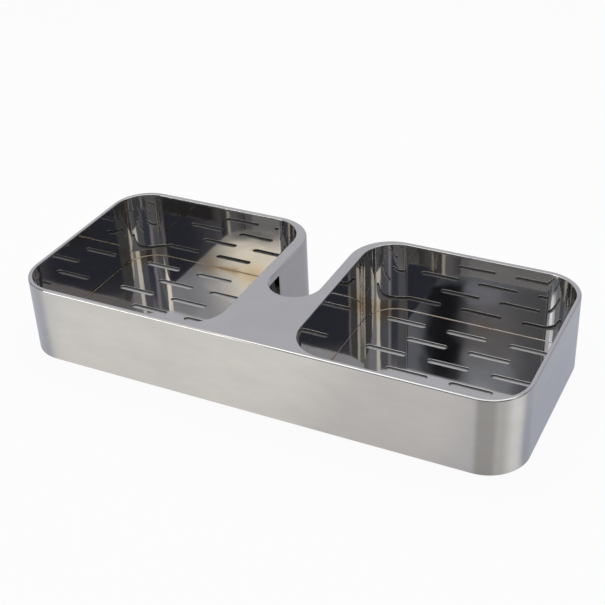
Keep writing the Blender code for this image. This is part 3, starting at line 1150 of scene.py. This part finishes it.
# Each panel: azimuth from and to, elevation from and to and softness in degrees, and colour.
# The backdrop behind, which the deck and the left walls mirror, with a shaded band across it.
BACKDROP = (
    (80, 168, -5, 75, 7, (0.64, 0.65, 0.72)),
    (25, 100, -20, 25, 2, (0.56, 0.57, 0.64)),
    (60, 92, 25.5, 50, 1, (0.36, 0.37, 0.42)),
    (50, 95, 30.5, 50, 1, (0.58, 0.59, 0.66)),
    (25, 54, 27, 45, 2, (0.29, 0.28, 0.30)),
)
# Grey screens on the left, and a patch of skylight high above them.
LEFT_SIDE = (
    (-180, -166, 10, 45, 2, (0.30, 0.33, 0.40)),
    (-175, -131, 0, 25, 2, (0.48, 0.49, 0.55)),
    (-152, -136, 29.5, 45, 2, (0.38, 0.40, 0.47)),
    (-138, -125.8, 24, 32, 2, (0.25, 0.26, 0.30)),
    (-158, -143, 46, 66, 4, (1.5, 1.5, 1.5)),
)
# On the right a grey screen, a cream strip with a wider foot, and a dark gap before the backdrop.
RIGHT_SIDE = (
    (-8, 32, 15, 48, 9, (0.40, 0.41, 0.46)),
    (-16.5, -3, 18, 46, 1.5, (1.20, 1.16, 1.10)),
    (-19.5, -3, 29.5, 31.5, 1.0, (1.20, 1.16, 1.10)),
    (53.5, 59, 27, 45, 1, (0.13, 0.13, 0.16)),
)
# The window at the front left, which the rear walls mirror: its panes, sill and dark uprights.
WINDOW = (
    (-128, -112.6, 32.8, 45, 1.0, (1.00, 1.02, 1.12)),
    (-126, -119, 30.2, 32.6, 0.7, (0.48, 0.50, 0.57)),
    (-134, -125.8, 31.8, 36, 1.2, (1.75, 1.8, 1.9)),
    (-116.5, -99, 28, 32, 1.0, (0.23, 0.25, 0.30)),
    (-112.4, -110.4, 33.2, 36.2, 0.5, (0.26, 0.28, 0.34)),
    (-108.6, -106, 31.6, 32.8, 0.5, (0.36, 0.38, 0.45)),
    (-108.3, -105.0, 32.8, 37.0, 0.6, (0.26, 0.25, 0.27)),
    (-108.3, -105.0, 35.0, 37.0, 0.6, (0.43, 0.46, 0.54)),
    (-112.5, -106, 36.8, 60, 0.8, (0.80, 0.84, 1.00)),
    (-110.4, -108.2, 31.4, 36.8, 0.4, (0.012, 0.013, 0.018)),
    (-104.6, -97, 28, 40, 1.0, (0.17, 0.17, 0.19)),
)
# A grey screen round the camera, and a low strip light that the front edge of the deck picks up.
FRONT = (
    (-75, -45, 27, 60, 3, (0.42, 0.40, 0.46)),
    (-130, -115.5, 1, 14, 1.2, (6.0, 6.0, 5.9)),
)
# A pale ceiling, which is nearly black behind the softbox so that the two don't add up.
CEILING = (
    (-220, 220, 53, 100, 4, (1.12, 1.12, 1.12)),
    (-220, 220, 72, 100, 2, (0.05, 0.05, 0.05)),
)
ROOM_PANELS = (*BACKDROP, *LEFT_SIDE, *RIGHT_SIDE, *WINDOW, *FRONT, *CEILING)
print("Room:", len(ROOM_PANELS), "panels")

# %% Paint the room
room = bpy.data.worlds.new("studio_room")
bpy.context.scene.world = room
room.use_nodes = True
tree = room.node_tree
tree.nodes.clear()
direction = add(tree, "ShaderNodeTexCoord").node.outputs["Generated"]
x, y, z = add(tree, "ShaderNodeSeparateXYZ", {0: direction}).node.outputs
bearing = add(tree, "ShaderNodeMath", {0: y, 1: x}, operation="ARCTAN2")
azimuth = add(tree, "ShaderNodeMath", {0: bearing}, operation="DEGREES")
rise = add(tree, "ShaderNodeMath", {0: z}, operation="ARCSINE")
elevation = add(tree, "ShaderNodeMath", {0: rise}, operation="DEGREES")
painted = paint(tree, azimuth, elevation, ROOM, ROOM_PANELS)
dim = add(tree, "ShaderNodeBackground", {"Color": painted})
bright = add(tree, "ShaderNodeBackground", {"Color": WHITE})
ray = add(tree, "ShaderNodeLightPath").node.outputs
surface = add(tree, "ShaderNodeMixShader", {0: ray["Is Camera Ray"], 1: dim, 2: bright})
add(tree, "ShaderNodeOutputWorld", {"Surface": surface})
print("Room painted with", len(tree.nodes), "nodes")

# %% [markdown]
# ## The lamp and the cards
# One softbox hangs overhead. It gives the plain light and the shelf's soft shadow. Its energy
# follows from its area and from how bright its face is to look in the metal.
#
# A painted room is endlessly far away, so both basins would show the same part of it. Cards stand
# near the shelf, and each basin sees them elsewhere. The camera looks through a black card, as it
# does when a mirror is photographed, and that card is the dark in the basins. A pale card and a
# narrow streak card stand far out at the front left, for the pale fields and the white streak in
# the right basin. A dim card close by keeps the top of that streak dark, and a cream card gives the
# left basin its warm patch. The camera itself doesn't see them, and they throw no light on the
# paper.

# %% Softbox
SOFTBOX_SIDE = 1.1
SOFTBOX_LEVEL = 1.15

softbox = bpy.data.lights.new("softbox_overhead", "AREA")
softbox.shape = "RECTANGLE"
softbox.size = SOFTBOX_SIDE
softbox.size_y = SOFTBOX_SIDE
softbox.energy = SOFTBOX_LEVEL * math.pi * softbox.size * softbox.size_y
softbox.color = (1.0, 0.99, 0.96)
holder = bpy.data.objects.new("softbox_overhead", softbox)
bpy.context.scene.collection.objects.link(holder)
holder.location = (0, -0.05, 1.1)
holder.visible_camera = False
print("Softbox:", round(softbox.energy, 2), "W, its face at", SOFTBOX_LEVEL, "of white")

# %% Cards
def card(name, centre, size, turn, colour, softness):
    """A flat card that glows and has soft edges. The camera doesn't see it, the metal does."""
    turned = [math.radians(angle) for angle in turn]
    bpy.ops.object.select_all(action="DESELECT")
    bpy.ops.mesh.primitive_plane_add(size=1, location=centre, rotation=turned)
    bpy.context.object.scale = (*size, 1)
    flat = settle(bpy.context.object, name)
    flat.visible_camera = False
    flat.visible_diffuse = False
    flat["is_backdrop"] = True
    finish, tree = blank(name)
    across = add(tree, "ShaderNodeTexCoord").node.outputs["UV"]
    place = add(tree, "ShaderNodeSeparateXYZ", {0: across}).node.outputs
    bands = {}
    for axis in (0, 1):
        edge = softness[axis] / size[axis]
        bands[axis] = soft_band(tree, place[axis], edge, 1 - edge, edge)
    share = add(tree, "ShaderNodeMath", bands, operation="MULTIPLY")
    clear = add(tree, "ShaderNodeBsdfTransparent")
    glow = add(tree, "ShaderNodeEmission", {"Color": (*colour, 1), "Strength": 1.0})
    surface = add(tree, "ShaderNodeMixShader", {0: share, 1: clear, 2: glow})
    add(tree, "ShaderNodeOutputMaterial", {"Surface": surface})
    wear(flat, finish)


beside = camera.location + Vector((0.03, 0, -0.12))
# Each card: name, centre and size in metres, turn in degrees, colour, and softness in metres.
CARDS = (
    ("black_lens_card", beside, (0.40, 0.48), (75, 0, 28), (0.085, 0.095, 0.14), (0.05, 0.04)),
    ("pale_card", (-0.477, -0.62, 0.538), (0.245, 0.22), (90, 15, 0), (0.98, 0.98, 1.06), (0.05, 0.04)),
    ("streak_card", (-0.47, -0.80, 0.668), (0.31, 0.07), (90, 20, 0), (1.95, 2.07, 2.3), (0.02, 0.008)),
    ("dim_card", (-0.155, -0.30, 0.252), (0.19, 0.03), (90, 21, 0), (0.26, 0.29, 0.34), (0.01, 0.003)),
    ("cream_card", (-0.412, -0.60, 0.455), (0.31, 0.15), (90, 12, 0), (1.80, 1.70, 1.54), (0.05, 0.02)),
)
for facts in CARDS:
    card(*facts)
print("Cards:", len(CARDS))

# %% Finish
low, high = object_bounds()
print("Visual box, mm:", [round(span / MM, 1) for span in high - low])
